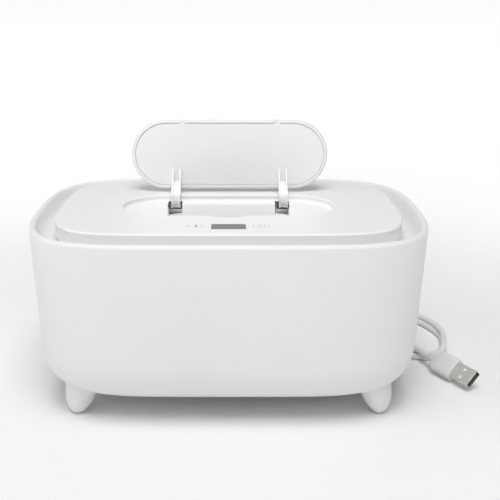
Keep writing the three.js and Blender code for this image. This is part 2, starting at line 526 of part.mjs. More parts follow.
// the coil: an oval ring lying on the floor, wider at the left, where a third strand lies inside
const oval = new THREE.CatmullRomCurve3(OVAL.map(([x, y]) => new THREE.Vector3(x, y, 0)), true, 'centripetal');
const fade = (x) => { const q = Math.min(1, Math.max(0, x)); return q * q * (3 - 2 * q); };
const beside = (t, d) => {
  const p = oval.getPoint(t), q = oval.getTangent(t);
  return [p.x + d * q.y, p.y - d * q.x];
};
const outerSide = (k) => 6.5 - 2.0 * (k > 12 ? fade((k - 19.5) / 2) : 1 - fade((k - 5) / 3.5));
const innerSide = (k) => -2.5 - 4.0 * (k < 12 ? fade((k - 5) / 4) : 1 - fade((k - 14.5) / 2));
const COIL_N = 92;
const ringShape = new THREE.Shape(), ringHole = new THREE.Path();
for (let i = 0; i < COIL_N; i++) {
  const t = i / COIL_N, k = t * OVAL.length;
  ringShape[i ? 'lineTo' : 'moveTo'](...beside(t, outerSide(k)));
  ringHole[i ? 'lineTo' : 'moveTo'](...beside(t, innerSide(k)));
}
ringShape.holes.push(ringHole);
const ring = slab(ringShape, 0.05, COIL_H, 0, 0, 4);

// plug: metal shell with a tongue inside, moulded grip and a short relief
const ax = V(PLUG_AX).normalize();
const wd = V(PLUG_WD); wd.addScaledVector(ax, -wd.dot(ax)).normalize();
const nm = new THREE.Vector3().crossVectors(ax, wd);
const plugFrame = new THREE.Matrix4().makeBasis(ax, wd, nm).setPosition(V(PLUG_C));
const along = (d, w = 0, n = 0) => V(PLUG_C).addScaledVector(ax, d).addScaledVector(wd, w).addScaledVector(nm, n);
const rise = (g) => { g.applyMatrix4(plugFrame); return g; };
let can = cut(block(-SHELL_L, 0, -SHELL_W / 2, SHELL_W / 2, -SHELL_T / 2, SHELL_T / 2), block(-SHELL_L + 1, 1, -SHELL_W / 2 + 0.4, SHELL_W / 2 - 0.4, -SHELL_T / 2 + 0.4, SHELL_T / 2 - 0.4));
for (const w of [-2.9, 2.9]) can = cut(can, block(-6.9, -4.7, w - 1.15, w + 1.15, 0, 5));
add('plug_shell', rise(fromSolid(can)), STEEL());
add('plug_tongue', rise(block(-SHELL_L + 1.3, -0.9, -5.2, 5.2, -1.8, 0.2)), mat(0xe9e9ea, 0.5));
const gripShape = roundRect(BODY_W, BODY_T, 1.8);
const grip = new THREE.ExtrudeGeometry(gripShape, { depth: BODY_L - 3.2, bevelEnabled: true, bevelThickness: 1.6, bevelSize: 1.2, bevelOffset: -1.2, bevelSegments: 2, curveSegments: 3 });
grip.applyMatrix4(new THREE.Matrix4().makeBasis(new THREE.Vector3(0, 1, 0), new THREE.Vector3(0, 0, 1), new THREE.Vector3(1, 0, 0)));
grip.translate(-SHELL_L - 0.3 - BODY_L + 1.6, 0, 0);
const relief = new THREE.CylinderGeometry(2.6, 3.5, 6.2, 16);
relief.rotateZ(Math.PI / 2);
relief.translate(-SHELL_L - BODY_L - 0.3 - 2.9, 0, 0);
add('plug_body', rise(fromSolid(join(grip, relief))), mat(0xd9d9da, 0.5));

const TAIL_D = -SHELL_L - BODY_L - 0.3 - 6.0 - 0.35;
const tailStart = along(TAIL_D), tailNext = along(TAIL_D - 4);
const TAIL = [
  tailStart.toArray(), tailNext.toArray(), [136.6, 15.2, 7.2], [134.7, 20.2, 6.8], [132.0, 25.0, 6.6], [128.9, 29.6, 6.5],
];
add('cord_tail', tube(TAIL, 22), mat(0xe4e4e4, 0.5));
// the tail lies in a shallow dip across the front of the coil
add('cord_coil', cut(ring, tube(TAIL, 22, CORD_R + 0.35)), mat(0xe4e4e4, 0.5));

export default part;
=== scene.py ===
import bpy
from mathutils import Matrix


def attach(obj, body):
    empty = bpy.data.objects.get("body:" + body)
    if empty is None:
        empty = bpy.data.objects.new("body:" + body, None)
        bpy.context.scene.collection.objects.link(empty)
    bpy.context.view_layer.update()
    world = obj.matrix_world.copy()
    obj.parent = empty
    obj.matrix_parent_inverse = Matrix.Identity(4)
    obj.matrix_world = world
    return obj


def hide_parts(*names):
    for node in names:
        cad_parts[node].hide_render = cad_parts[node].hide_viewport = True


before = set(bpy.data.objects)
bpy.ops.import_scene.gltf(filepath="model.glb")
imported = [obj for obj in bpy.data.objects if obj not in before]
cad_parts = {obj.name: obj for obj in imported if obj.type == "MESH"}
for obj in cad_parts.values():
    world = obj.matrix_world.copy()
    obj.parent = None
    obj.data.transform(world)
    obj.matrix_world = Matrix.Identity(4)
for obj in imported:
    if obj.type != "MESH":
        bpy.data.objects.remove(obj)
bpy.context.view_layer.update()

import math

import bmesh
import bpy
import numpy as np
from mathutils import Matrix, Vector

MM = 0.001
D2R = math.pi / 180

# ------------------------------------------------------------------ dimensions
# millimetres, the same frame and the same values as the CAD
HALF_W, HALF_D = 125.0, 85.0
NX, NY, NXI, NYI = 5.4, 3.0, 7.0, 3.3
RIM_Z, DRAFT, WALL, BOTTOM_Z = 117.6, 0.0465, 2.4, 12.2
HEEL_R, HEEL_P = 28.0, 2.3
LEDGE_Z, LEDGE_IN = 108.2, 20.5
LID_INSET, LID_Z, LID_LOW, LID_T = 16.0, 120.0, 110.8, 2.0
SEAT_Z, SEAT_S, SEAT_R, SEAT_Y = 116.0, 43.8, 24.9, -3.2
HOLE_W, HOLE_Y0, HOLE_Y1, HOLE_R = 40.9, -22.0, 17.0, 9.0
HOLE_TAPER, HOLE_SLOPE = 0.07, 0.55
SKIRT_T, SKIRT_Z = 1.8, 103.0
SLOT_X0, SLOT_X1, SLOT_Y1, SLOT_Z, SLOT_LOW = 31.45, 40.9, 24.6, 116.3, 109.3
POCKET_IN, POCKET_OUT = 12.2, 13.4
THUMB_R, THUMB_Y = 16.5, -16.3
WINDOW_W, WINDOW_D, WINDOW_Y = 20.0, 10.5, -53.0
PIVOT_Y, PIVOT_Z, FLAP_ANGLE = 28.4, 115.0, 98.0
FLAP_S, FLAP_R, FLAP_Y = 43.6, 24.0, -3.2
FLAP_TOP, FLAP_LOW, LIP, PLAY = 120.0, 116.4, 2.5, 0.7
ARM_X, ARM_W, RIB = 36.6, 6.2, 1.2
ARC_IN, ARC_RIB, ARC_WEB = 8.9, 11.1, 10.3
BORE_R = 1.5
FOOT_X, FOOT_Y, FOOT_LEAN_X, FOOT_LEAN_Y = 94.5, 57.0, 0.16, 0.10
CORD_R = 2.1
OVAL = [
    (159.6, 50.5), (158.6, 58.4), (156.6, 65.4), (152.4, 75.0), (147.0, 83.2), (140.2, 90.4), (131.6, 95.4), (122.6, 95.6),
    (115.0, 90.6), (110.6, 81.6), (109.6, 70.5), (111.3, 59.5), (115.2, 48.5), (120.6, 39.0), (126.2, 31.2), (131.7, 24.7),
    (135.5, 22.0), (140.3, 20.7), (145.4, 21.4), (149.9, 23.9), (153.2, 28.1), (156.0, 35.0), (158.2, 42.0),
]
GLAND = (64.0, 80.5, 38.0)
PLUG_C, PLUG_AX, PLUG_WD = (161.1, -30.1, 8.0), (0.49, -0.87, 0.012), (0.65, 0.38, 0.66)
SHELL_L, SHELL_W, SHELL_T = 15.6, 12.0, 4.5
BODY_L, BODY_W, BODY_T = 19.5, 15.3, 7.6

scene = bpy.context.scene
scene.view_settings.view_transform = "Standard"
scene.view_settings.look = "None"
scene.view_settings.exposure = 0.0
scene.view_settings.gamma = 1.0

# ---------------------------------------------------------------------- camera
CAM_EL, CAM_D, CAM_F = 15.3, 545.0, 826.8
CAM_U, CAM_V = 228.62, 209.5
cam_data = bpy.data.cameras.new("photo_camera")
cam = bpy.data.objects.new("photo_camera", cam_data)
scene.collection.objects.link(cam)
cam_data.sensor_width = 36.0
cam_data.sensor_fit = "HORIZONTAL"
cam_data.lens = CAM_F / 500.0 * 36.0
cam_data.shift_x = (250.0 - CAM_U) / 500.0
cam_data.shift_y = -(250.0 - CAM_V) / 500.0
cam_data.clip_start, cam_data.clip_end = 0.01, 100.0
e = CAM_EL * D2R
cam.location = Vector((0.0, -CAM_D * math.cos(e), 116.0 + CAM_D * math.sin(e))) * MM
cam.rotation_euler = (math.pi / 2 - e, 0.0, 0.0)
scene.camera = cam


# ---------------------------------------------------------------- mesh helpers
def new_mesh(name, verts, faces, link=True):
    """An object from points in millimetres and faces."""
    me = bpy.data.meshes.new(name)
    me.from_pydata([tuple(float(c) * MM for c in v) for v in verts], [], [tuple(f) for f in faces])
    me.update()
    ob = bpy.data.objects.new(name, me)
    if link:
        scene.collection.objects.link(ob)
    fix(ob)
    return ob


def fix(ob, dist=2e-7):
    bm = bmesh.new()
    bm.from_mesh(ob.data)
    bmesh.ops.remove_doubles(bm, verts=bm.verts, dist=dist)
    bmesh.ops.recalc_face_normals(bm, faces=bm.faces)
    if bm.calc_volume(signed=True) < 0:
        bmesh.ops.reverse_faces(bm, faces=bm.faces)
    bm.to_mesh(ob.data)
    bm.free()
    ob.data.update()
    return ob


def boolean(ob, tool, how):
    """Joins or cuts ob with tool, exactly, and removes the tool."""
    m = ob.modifiers.new("b", "BOOLEAN")
    m.operation = how
    m.solver = "EXACT"
    m.object = tool
    dg = bpy.context.evaluated_depsgraph_get()
    me = bpy.data.meshes.new_from_object(ob.evaluated_get(dg))
    ob.modifiers.clear()
    ob.data = me
    bpy.data.objects.remove(tool)
    return ob


def cut(ob, *tools):
    for t in tools:
        boolean(ob, t, "DIFFERENCE")
    return ob


def join(ob, *tools):
    for t in tools:
        boolean(ob, t, "UNION")
    return ob


def smooth(ob, angle=32.0, weighted=True):
    """Smooth shading with sharp edges kept, and flat faces kept flat."""
    me = ob.data
    bm = bmesh.new()
    bm.from_mesh(me)
    for f in bm.faces:
        f.smooth = True
    lim = angle * D2R
    for ed in bm.edges:
        ed.smooth = not (len(ed.link_faces) == 2 and ed.calc_face_angle(0.0) > lim)
    bm.to_mesh(me)
    bm.free()
    if weighted:
        w = ob.modifiers.new("flat_faces", "WEIGHTED_NORMAL")
        w.keep_sharp = True
        w.weight = 60
    return ob


def bevelled(ob, width, segments=3, angle=35.0):
    b = ob.modifiers.new("edge", "BEVEL")
    b.width = width * MM
    b.segments = segments
    b.limit_method = "ANGLE"
    b.angle_limit = angle * D2R
    b.harden_normals = False
    return ob


def grid_faces(rows, cols, closed_cols=True, closed_rows=False):
    faces = []
    for i in range(rows if closed_rows else rows - 1):
        for j in range(cols if closed_cols else cols - 1):
            a, b = i * cols + j, i * cols + (j + 1) % cols
            c, d = ((i + 1) % rows) * cols + (j + 1) % cols, ((i + 1) % rows) * cols + j
            faces.append((a, b, c, d))
    return faces


def plan_angles(n):
    """Steps round the plan curve, finer where it bends."""
    q, fine = n // 4, 4000
    t = np.linspace(0, math.pi / 2, fine + 1)
    x = HALF_W * np.cos(t) ** (2 / NX)
    y = HALF_D * np.sin(t) ** (2 / NY)
    x[-1] = 0.0
    dx, dy = np.diff(x), np.diff(y)
    d = np.unwrap(np.arctan2(dy, dx))
    turn = np.concatenate([[0], np.abs(np.diff(d))])
    s = np.concatenate([[0], np.cumsum(np.hypot(dx, dy) + 60 * turn)])
    first = np.interp(np.linspace(0, s[-1], q + 1), s, t)
    out = list(first[:q]) + list(math.pi - first[::-1][:q]) + list(math.pi + first[:q]) + list(2 * math.pi - first[::-1][:q])
    return np.array(out)


def plan_ring(inset, nx, ny, ts):
    c, s = np.cos(ts), np.sin(ts)
    c[np.abs(c) < 1e-9] = 0
    s[np.abs(s) < 1e-9] = 0
    x = (HALF_W - inset) * np.sign(c) * np.abs(c) ** (2 / nx)
    y = (HALF_D - inset) * np.sign(s) * np.abs(s) ** (2 / ny)
    return x, y


def swept(name, profile, expo, n=240, closed=False):
    """A profile of (inset, z) swept round the plan curve; an open profile gets flat end caps."""
    ts = plan_angles(n)
    verts, faces = [], []
    for inset, z in profile:
        nx, ny = expo(inset, z)
        x, y = plan_ring(inset, nx, ny, ts.copy())
        verts += [(a, b, z) for a, b in zip(x, y)]
    faces = grid_faces(len(profile), n, True, closed)
    if not closed:
        faces.append(tuple(range(n)))
        faces.append(tuple(range((len(profile) - 1) * n, len(profile) * n)))
    return new_mesh(name, verts, faces)


def outer_plan(inset, z):
    return NX, NY


def inner_plan(inset, z):
    return NXI, NYI


def rim_plan(inset, z):
    if z <= 103:
        return NX, NY
    k = min(1.0, max(0.0, inset) / LID_INSET)
    return NX + (NXI - NX) * k, NY + (NYI - NY) * k


def stadium(name, profile, half, cy, n=96, cx=0.0):
    """A profile of (radius, z) swept round a stadium lying along X, with flat caps."""
    phi = math.pi / n + 2 * math.pi * np.arange(n) / n
    sx, cx_ = np.sin(phi), np.cos(phi)
    verts = []
    for r, z in profile:
        for a, b in zip(sx, cx_):
            verts.append((cx + r * a + math.copysign(half, a), cy - r * b, z))
    faces = grid_faces(len(profile), n)
    faces.append(tuple(range(n)))
    faces.append(tuple(range((len(profile) - 1) * n, len(profile) * n)))
    return new_mesh(name, verts, faces)


def round_rect(w, d, r, seg=12):
    pts = []
    for sx, sy, a0 in ((1, -1, -90), (1, 1, 0), (-1, 1, 90), (-1, -1, 180)):
        for k in range(seg + 1):
            a = (a0 + 90 * k / seg) * D2R
            pts.append((sx * (w / 2 - r) + r * math.cos(a), sy * (d / 2 - r) + r * math.sin(a)))
    return pts


def rr_loft(name, rows, cx=0.0, cy=0.0, seg=12):
    """A loft of rounded rectangles: rows of (width, depth, radius, z)."""
    verts, n = [], 4 * (seg + 1)
    for w, d, r, z in rows:
        verts += [(cx + x, cy + y, z) for x, y in round_rect(w, d, max(r, 0.01), seg)]
    faces = grid_faces(len(rows), n)
    faces.append(tuple(range(n)))
    faces.append(tuple(range((len(rows) - 1) * n, len(rows) * n)))
    return new_mesh(name, verts, faces)


def rounded(corners, r, seg):
    """A convex outline with rounded corners."""
    out, n = [], len(corners)
    for i in range(n):
        a, b, c = corners[i - 1], corners[i], corners[(i + 1) % n]
        d = math.atan2(b[1] - a[1], b[0] - a[0])
        turn = (math.atan2(c[1] - b[1], c[0] - b[0]) - d) % (2 * math.pi)
        t = r * math.tan(turn / 2)
        cx, cy = b[0] - t * math.cos(d) - r * math.sin(d), b[1] - t * math.sin(d) + r * math.cos(d)
        for k in range(seg + 1):
            q = d - math.pi / 2 + turn * k / seg
            out.append((cx + r * math.cos(q), cy + r * math.sin(q)))
    return out


def loft(name, rings):
    """A solid through rings of equal count, with flat caps."""
    n = len(rings[0])
    faces = grid_faces(len(rings), n) + [tuple(range(n)), tuple(range((len(rings) - 1) * n, len(rings) * n))]
    return new_mesh(name, [p for ring in rings for p in ring], faces)


def block(name, x0, x1, y0, y1, z0, z1):
    v = [(x, y, z) for z in (z0, z1) for y in (y0, y1) for x in (x0, x1)]
    f = [(0, 1, 3, 2), (4, 5, 7, 6), (0, 1, 5, 4), (2, 3, 7, 6), (0, 2, 6, 4), (1, 3, 7, 5)]
    return new_mesh(name, v, f)


def lathe(name, profile, n=48, axis="z", at=(0, 0, 0), link=True):
    """A profile of (radius, height) turned about an axis, with flat caps at its ends."""
    verts = []
    for r, h in profile:
        for k in range(n):
            a = 2 * math.pi * k / n
            p = (max(r, 1e-4) * math.cos(a), max(r, 1e-4) * math.sin(a), h)
            if axis == "x":
                p = (p[2], p[0], p[1])
            elif axis == "y":
                p = (p[1], p[2], p[0])
            verts.append(tuple(p[i] + at[i] for i in range(3)))
    faces = grid_faces(len(profile), n)
    faces.append(tuple(range(n)))
    faces.append(tuple(range((len(profile) - 1) * n, len(profile) * n)))
    return new_mesh(name, verts, faces, link)


def plate_x(name, pts, x0, x1):
    """An outline in the Y-Z plane, extruded along X."""
    n = len(pts)
    verts = [(x0, y, z) for y, z in pts] + [(x1, y, z) for y, z in pts]
    faces = [(i, (i + 1) % n, n + (i + 1) % n, n + i) for i in range(n)]
    faces += [tuple(range(n)), tuple(range(n, 2 * n))]
    return new_mesh(name, verts, faces)


def arc(cx, cz, r, a0, a1, n):
    """Points of a fillet, angles in degrees."""
    return [(cx + r * math.cos((a0 + (a1 - a0) * k / n) * D2R), cz + r * math.sin((a0 + (a1 - a0) * k / n) * D2R)) for k in range(n + 1)]


def catmull(points, step):
    """A centripetal curve through the points, sampled about every step."""
    p = [np.array(q, float) for q in points]
    p = [2 * p[0] - p[1]] + p + [2 * p[-1] - p[-2]]
    out = []
    for i in range(1, len(p) - 2):
        p0, p1, p2, p3 = p[i - 1:i + 3]
        t = [0.0]
        for a, b in ((p0, p1), (p1, p2), (p2, p3)):
            t.append(t[-1] + max(np.linalg.norm(b - a), 1e-6) ** 0.5)
        n = max(2, int(math.ceil(np.linalg.norm(p2 - p1) / step)))
        for k in range(n):
            u = t[1] + (t[2] - t[1]) * k / n
            a1 = (t[1] - u) / (t[1] - t[0]) * p0 + (u - t[0]) / (t[1] - t[0]) * p1
            a2 = (t[2] - u) / (t[2] - t[1]) * p1 + (u - t[1]) / (t[2] - t[1]) * p2
            a3 = (t[3] - u) / (t[3] - t[2]) * p2 + (u - t[2]) / (t[3] - t[2]) * p3
            b1 = (t[2] - u) / (t[2] - t[0]) * a1 + (u - t[0]) / (t[2] - t[0]) * a2
            b2 = (t[3] - u) / (t[3] - t[1]) * a2 + (u - t[1]) / (t[3] - t[1]) * a3
            out.append((t[2] - u) / (t[2] - t[1]) * b1 + (u - t[1]) / (t[2] - t[1]) * b2)
    out.append(p[-2])
    return out


def smooth_profile(points, step):
    return [tuple(q) for q in catmull([np.array(p, float) for p in points], step)]


# ------------------------------------------------------------------- materials
def nodes_of(name):
    m = bpy.data.materials.new(name)
    m.use_nodes = True
    nt = m.node_tree
    nt.nodes.clear()
    out = nt.nodes.new("ShaderNodeOutputMaterial")
    bsdf = nt.nodes.new("ShaderNodeBsdfPrincipled")
    nt.links.new(bsdf.outputs[0], out.inputs[0])
    return m, nt, bsdf


def noise(nt, scale, detail=3.0, rough=0.5, vec=None):
    n = nt.nodes.new("ShaderNodeTexNoise")
    n.inputs["Scale"].default_value = scale
    n.inputs["Detail"].default_value = detail
    n.inputs["Roughness"].default_value = rough
    nt.links.new(vec, n.inputs["Vector"])
    return n.outputs["Fac"]


def remap(nt, value, lo, hi, a=0.0, b=1.0):
    r = nt.nodes.new("ShaderNodeMapRange")
    r.inputs["From Min"].default_value = a
    r.inputs["From Max"].default_value = b
    r.inputs["To Min"].default_value = lo
    r.inputs["To Max"].default_value = hi
    nt.links.new(value, r.inputs["Value"])
    return r.outputs["Result"]


def mix_colour(nt, fac, a, b):
    m = nt.nodes.new("ShaderNodeMix")
    m.data_type = "RGBA"
    m.inputs[6].default_value = (*a, 1)
    m.inputs[7].default_value = (*b, 1)
    nt.links.new(fac, m.inputs[0])
    return m.outputs[2]


def moulded(name, colour, rough=0.42, grain=0.02, vary=0.012, scale=900.0, ior=1.5, coat=0.0, uneven=0.04):
    """Moulded plastic: a fine spark-eroded grain, a slow drift in tone and slightly uneven gloss."""
    m, nt, b = nodes_of(name)
    co = nt.nodes.new("ShaderNodeTexCoord").outputs["Object"]
    slow = noise(nt, 14.0, 2.0, 0.5, co)
    a = tuple(max(0.0, c - vary) for c in colour)
    z = tuple(min(1.0, c + vary) for c in colour)
    nt.links.new(mix_colour(nt, remap(nt, slow, 0, 1, 0.3, 0.7), a, z), b.inputs["Base Color"])
    mid = noise(nt, 160.0, 3.0, 0.6, co)
    nt.links.new(remap(nt, mid, rough - uneven, rough + uneven, 0.3, 0.7), b.inputs["Roughness"])
    fine = noise(nt, scale, 2.0, 0.6, co)
    bump = nt.nodes.new("ShaderNodeBump")
    bump.inputs["Strength"].default_value = grain
    bump.inputs["Distance"].default_value = 0.0005
    nt.links.new(fine, bump.inputs["Height"])
    nt.links.new(bump.outputs[0], b.inputs["Normal"])
    b.inputs["IOR"].default_value = ior
    b.inputs["Coat Weight"].default_value = coat
    b.inputs["Coat Roughness"].default_value = 0.12
    return m


def metal(name, colour, rough=0.25, scratch=0.03, stretch=(1, 1, 1)):
    """Plated metal with a faint rolled grain."""
    m, nt, b = nodes_of(name)
    tc = nt.nodes.new("ShaderNodeTexCoord").outputs["Object"]
    mp = nt.nodes.new("ShaderNodeMapping")
    mp.inputs["Scale"].default_value = stretch
    nt.links.new(tc, mp.inputs["Vector"])
    co = mp.outputs[0]
    g = noise(nt, 700.0, 4.0, 0.6, co)
    nt.links.new(remap(nt, g, rough - 0.07, rough + 0.09, 0.3, 0.7), b.inputs["Roughness"])
    s = noise(nt, 60.0, 3.0, 0.5, co)
    nt.links.new(mix_colour(nt, remap(nt, s, 0, 1, 0.3, 0.7), tuple(c * 0.93 for c in colour), colour), b.inputs["Base Color"])
    bump = nt.nodes.new("ShaderNodeBump")
    bump.inputs["Strength"].default_value = scratch
    bump.inputs["Distance"].default_value = 0.0004
    nt.links.new(g, bump.inputs["Height"])
    nt.links.new(bump.outputs[0], b.inputs["Normal"])
    b.inputs["Metallic"].default_value = 1.0
    return m


def board(name):
    """Lacquered circuit board with faint copper tracks under the lacquer."""
    m, nt, b = nodes_of(name)
    co = nt.nodes.new("ShaderNodeTexCoord").outputs["Object"]
    br = nt.nodes.new("ShaderNodeTexBrick")
    br.inputs["Scale"].default_value = 160.0
    br.inputs["Mortar Size"].default_value = 0.03
    br.inputs["Color1"].default_value = (0.018, 0.12, 0.045, 1)
    br.inputs["Color2"].default_value = (0.022, 0.14, 0.05, 1)
    br.inputs["Mortar"].default_value = (0.05, 0.22, 0.09, 1)
    nt.links.new(co, br.inputs["Vector"])
    nt.links.new(br.outputs["Color"], b.inputs["Base Color"])
    n = noise(nt, 300.0, 2.0, 0.5, co)
    nt.links.new(remap(nt, n, 0.25, 0.4, 0.3, 0.7), b.inputs["Roughness"])
    return m


def foam(name, colour):
    m, nt, b = nodes_of(name)
    co = nt.nodes.new("ShaderNodeTexCoord").outputs["Object"]
    v = nt.nodes.new("ShaderNodeTexVoronoi")
    v.inputs["Scale"].default_value = 900.0
    nt.links.new(co, v.inputs["Vector"])
    # painted shade: the foam is darker in its pits, the same spots that the bump below sinks, as if shade filled the
    # pores
    nt.links.new(mix_colour(nt, remap(nt, v.outputs["Distance"], 0, 1, 0.0, 0.6), tuple(c * 0.6 for c in colour), colour), b.inputs["Base Color"])
    bump = nt.nodes.new("ShaderNodeBump")
    bump.inputs["Strength"].default_value = 0.4
    bump.inputs["Distance"].default_value = 0.0004
    nt.links.new(v.outputs["Distance"], bump.inputs["Height"])
    nt.links.new(bump.outputs[0], b.inputs["Normal"])
    n = noise(nt, 500.0, 2.0, 0.5, co)
    nt.links.new(remap(nt, n, 0.85, 0.98, 0.3, 0.7), b.inputs["Roughness"])
    return m


M_SHELL = moulded("shell_abs", (0.826, 0.826, 0.83), rough=0.44)
M_LID = moulded("lid_abs", (0.876, 0.876, 0.884), rough=0.40)
M_INNER = moulded("inner_abs", (0.84, 0.84, 0.845), rough=0.48)
M_FOOT = moulded("foot_abs", (0.815, 0.815, 0.82), rough=0.46)
M_LENS = moulded("display_lens_plastic", (0.182, 0.182, 0.186), rough=0.40, grain=0.001, vary=0.002, uneven=0.01)
M_MARK_DARK = moulded("printed_mark_dark", (0.33, 0.33, 0.35), rough=0.5, grain=0.01)
M_MARK_LIGHT = moulded("printed_mark_light", (0.62, 0.62, 0.635), rough=0.5, grain=0.01)
M_SILICONE = moulded("silicone", (0.62, 0.62, 0.62), rough=0.62, grain=0.03)
M_CORD = moulded("cord_pvc", (0.77, 0.77, 0.77), rough=0.46, grain=0.03, scale=1400.0)
M_PLUG = moulded("plug_pvc", (0.70, 0.70, 0.71), rough=0.5, grain=0.03, scale=1400.0)
M_CORE = moulded("plug_core_plastic", (0.86, 0.86, 0.85), rough=0.4)
M_TONGUE = moulded("plug_tongue_plastic", (0.02, 0.02, 0.021), rough=0.45)
M_DARK = moulded("dark_abs", (0.03, 0.03, 0.032), rough=0.5)
M_FILM = moulded("heating_film_polyimide", (0.42, 0.20, 0.04), rough=0.3, vary=0.03)
M_SHELLMETAL = metal("plug_shell_nickel", (0.84, 0.825, 0.79), rough=0.34, stretch=(1, 6, 6))
M_STEEL = metal("steel_screw", (0.60, 0.60, 0.59), rough=0.28)
M_ALU = metal("heater_aluminium", (0.74, 0.75, 0.76), rough=0.34, stretch=(1, 8, 8))
M_GOLD = metal("contact_gold_plate", (0.83, 0.62, 0.28), rough=0.22)
M_BOARD = board("circuit_board")
M_FOAM = foam("insulation_foam", (0.5, 0.5, 0.5))


def dress(ob, mat, body, replaces=()):
    ob.data.materials.clear()
    ob.data.materials.append(mat)
    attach(ob, body)
    if replaces:
        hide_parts(*replaces)
    return ob


# ------------------------------------------------------------------------ cord
def span(p0, p1, p2, p3, f):
    """A point between p1 and p2 of a centripetal curve."""
    t = [0.0]
    for a, b in ((p0, p1), (p1, p2), (p2, p3)):
        t.append(t[-1] + max(np.linalg.norm(b - a), 1e-6) ** 0.5)
    u = t[1] + (t[2] - t[1]) * f
    a1 = (t[1] - u) / (t[1] - t[0]) * p0 + (u - t[0]) / (t[1] - t[0]) * p1
    a2 = (t[2] - u) / (t[2] - t[1]) * p1 + (u - t[1]) / (t[2] - t[1]) * p2
    a3 = (t[3] - u) / (t[3] - t[2]) * p2 + (u - t[2]) / (t[3] - t[2]) * p3
    b1 = (t[2] - u) / (t[2] - t[0]) * a1 + (u - t[0]) / (t[2] - t[0]) * a2
    b2 = (t[3] - u) / (t[3] - t[1]) * a2 + (u - t[1]) / (t[3] - t[1]) * a3
    return (t[2] - u) / (t[2] - t[1]) * b1 + (u - t[1]) / (t[2] - t[1]) * b2


def oval_at(k):
    n, i = len(OVAL), int(math.floor(k))
    return span(*(np.array(OVAL[(i + j) % n], float) for j in (-1, 0, 1, 2)), k - i)


def beside(k, d):
    """A point d outwards from the oval at its parameter k, which runs 0 to 23."""
    p, g = oval_at(k), oval_at(k + 0.02) - oval_at(k - 0.02)
    g = g / np.linalg.norm(g)
    return float(p[0] + g[1] * d), float(p[1] - g[0] * d)


GLAND_END = GLAND[1] - 6.7 + 21.0
LEAD = [
    (GLAND[0], GLAND_END + 0.3, GLAND[2]), (GLAND[0], GLAND_END + 3.5, GLAND[2]), (64.4, 102.4, 36.2), (65.4, 106.0, 32.4),
    (67.8, 108.6, 26.4), (71.4, 111.4, 18.0), (76.4, 112.8, 9.8), (83.0, 112.0, 4.4), (89.5, 109.4, 2.6), (95.4, 104.6, 2.2),
    (99.8, 98.2, 2.15), (102.9, 90.6, 2.15), (104.7, 81.6, 2.15),
]
ax = Vector(PLUG_AX).normalized()
wd = Vector(PLUG_WD)
wd = (wd - ax * wd.dot(ax)).normalized()
nm = ax.cross(wd)


def along(d, w=0.0, n=0.0):
    return Vector(PLUG_C) + ax * d + wd * w + nm * n


TAIL_D = -SHELL_L - BODY_L - 0.3 - 6.0 - 0.35
TAIL = [
    (115.9, 60.4, 2.15), (119.3, 50.5, 2.2), (123.7, 42.3, 2.9), (127.6, 34.9, 4.7), (130.8, 28.5, 5.95), (132.8, 24.0, 6.5),
    (134.7, 20.2, 6.75), (136.6, 15.2, 7.1), tuple(along(TAIL_D - 4.0)), tuple(along(TAIL_D)),
]


def ease(x):
    x = min(1.0, max(0.0, x))
    return x * x * (3 - 2 * x)


# the first turn lies outside the second, climbs on it round the front and comes down again
CLIMB = [(10, 0), (17.6, 0), (18.4, 7), (19, 20), (19.5, 36), (20, 54), (20.5, 69), (21, 79), (21.6, 86), (22.5, 88), (24, 82), (25, 66), (26, 64), (27, 62),
         (28, 55), (29.5, 35), (31, 10), (32, 0), (33, 0)]


def turn_at(k, first):
    dr = -4.3 * ease((k - 28.2) / 4.3) + ease((k - 19.3) / 1.6) * (1 - ease((k - 26) / 2))
    if not first:
        return (*beside(k, dr), 2.15)
    a = float(np.interp(k, [c[0] for c in CLIMB], [c[1] for c in CLIMB])) * D2R
    return (*beside(k, dr + 4.3 * math.cos(a)), 2.15 + 4.3 * math.sin(a))


STEPS = 46
coil = [turn_at(10 + 23 * i / STEPS, True) for i in range(STEPS)] + [turn_at(10 + 23 * i / STEPS, False) for i in range(STEPS + 1)]
route = catmull(LEAD + coil + TAIL, 2.6)
cu = bpy.data.curves.new("cord_lead_whole", "CURVE")
cu.dimensions = "3D"
cu.bevel_depth = CORD_R * MM
cu.bevel_resolution = 5
cu.use_fill_caps = True
sp = cu.splines.new("POLY")
sp.points.add(len(route) - 1)
for p, q in zip(sp.points, route):
    p.co = (q[0] * MM, q[1] * MM, q[2] * MM, 1)
    p.radius = 1.0
sp.use_smooth = True
cord = bpy.data.objects.new("cord_whole", cu)
scene.collection.objects.link(cord)
cord_length = sum(math.dist(a, b) for a, b in zip(route, route[1:])) * MM
print("cord length", round(cord_length, 4))
cord.data.materials.append(M_CORD)
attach(cord, "housing")
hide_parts("cord_lead", "cord_coil", "cord_tail")

# gland: a ribbed, tapered relief
g = [(0.01, 0), (5.3, 0), (5.6, 0.3), (5.6, 2.0), (4.0, 2.2), (4.0, 7.7), (5.1, 7.75), (5.4, 8.05), (5.4, 9.1), (5.15, 9.5), (4.35, 9.75)]
for k in range(4):
    h = 10.4 + k * 2.3
    r = 4.2 - 0.27 * k
    g += [(r - 0.1, h - 0.35), (r, h), (r - 0.05, h + 0.95), (r - 0.16, h + 1.15), (r - 0.75, h + 1.3), (r - 0.78, h + 1.75)]
g += [(3.2, 20.1), (3.1, 20.8), (2.85, 21.0), (0.01, 21.0)]
gland = lathe("gland_relief", g, 48, "y", (GLAND[0], GLAND[1] - 6.7, GLAND[2]))
smooth(gland, 40)
dress(gland, M_CORD, "housing", ["cord_gland"])


